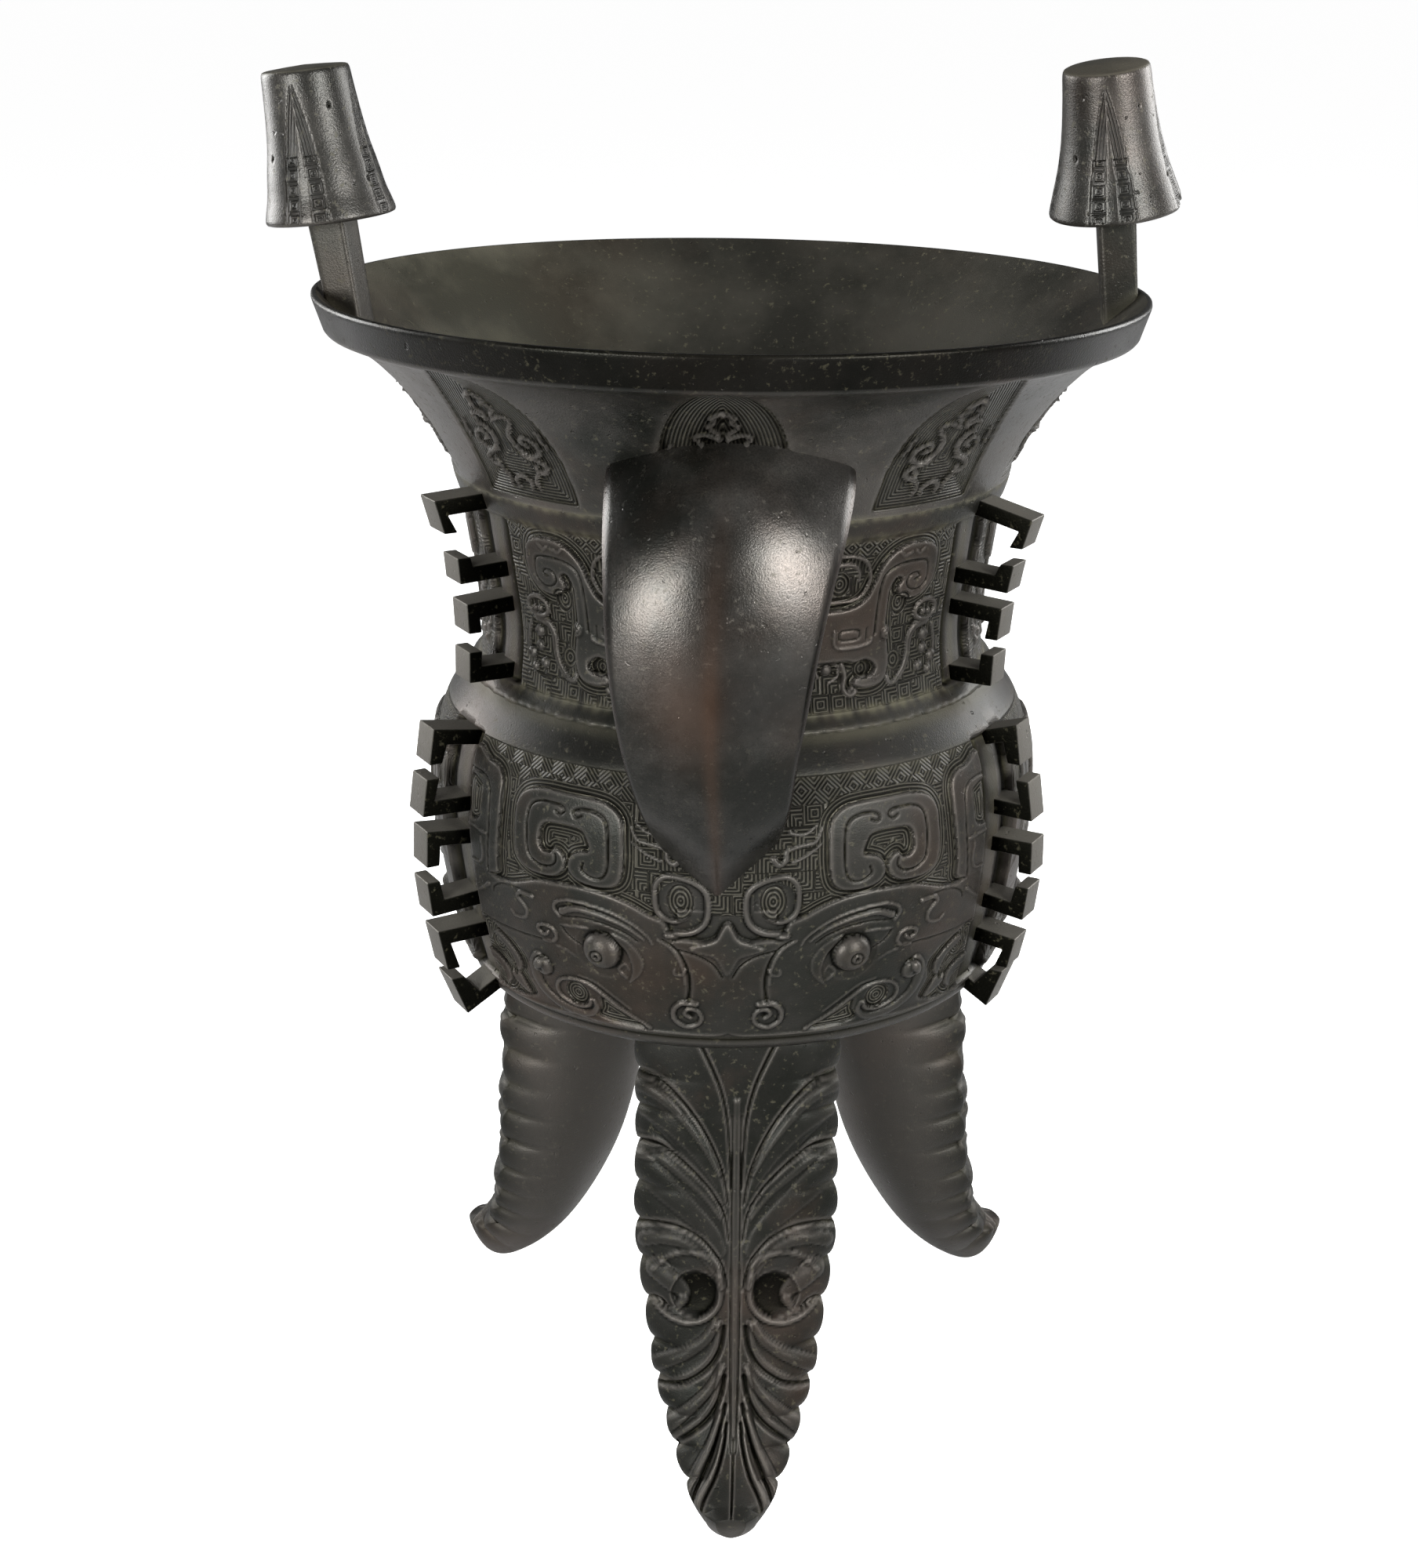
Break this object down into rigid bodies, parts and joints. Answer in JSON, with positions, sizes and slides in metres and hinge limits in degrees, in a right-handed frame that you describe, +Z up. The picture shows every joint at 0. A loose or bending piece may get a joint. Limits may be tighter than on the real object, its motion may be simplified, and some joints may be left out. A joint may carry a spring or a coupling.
{
  "type": "bronze tripod vessel",
  "caption": "Hollow cast bronze vessel on leaf-faced legs, with a trumpet neck, keeled strap handle, rows of openwork hooks, raised masks and capped posts on the lip.",
  "frame": {"origin": "on the floor under the middle of the vessel, which is also within about a millimetre of its turning axis", "axes": "+Z up along the turning axis, the handle and the front leg towards -Y, the posts on the lip towards -X and +X"},
  "size_m": [0.3455, 0.32, 0.5568],
  "materials": {
    "bronze": "dark brown patinated cast bronze, semi-gloss, with dust in its hollows"
  },
  "bodies": {
    "root": {"vessel": "bronze"}
  },
  "joints": []
}
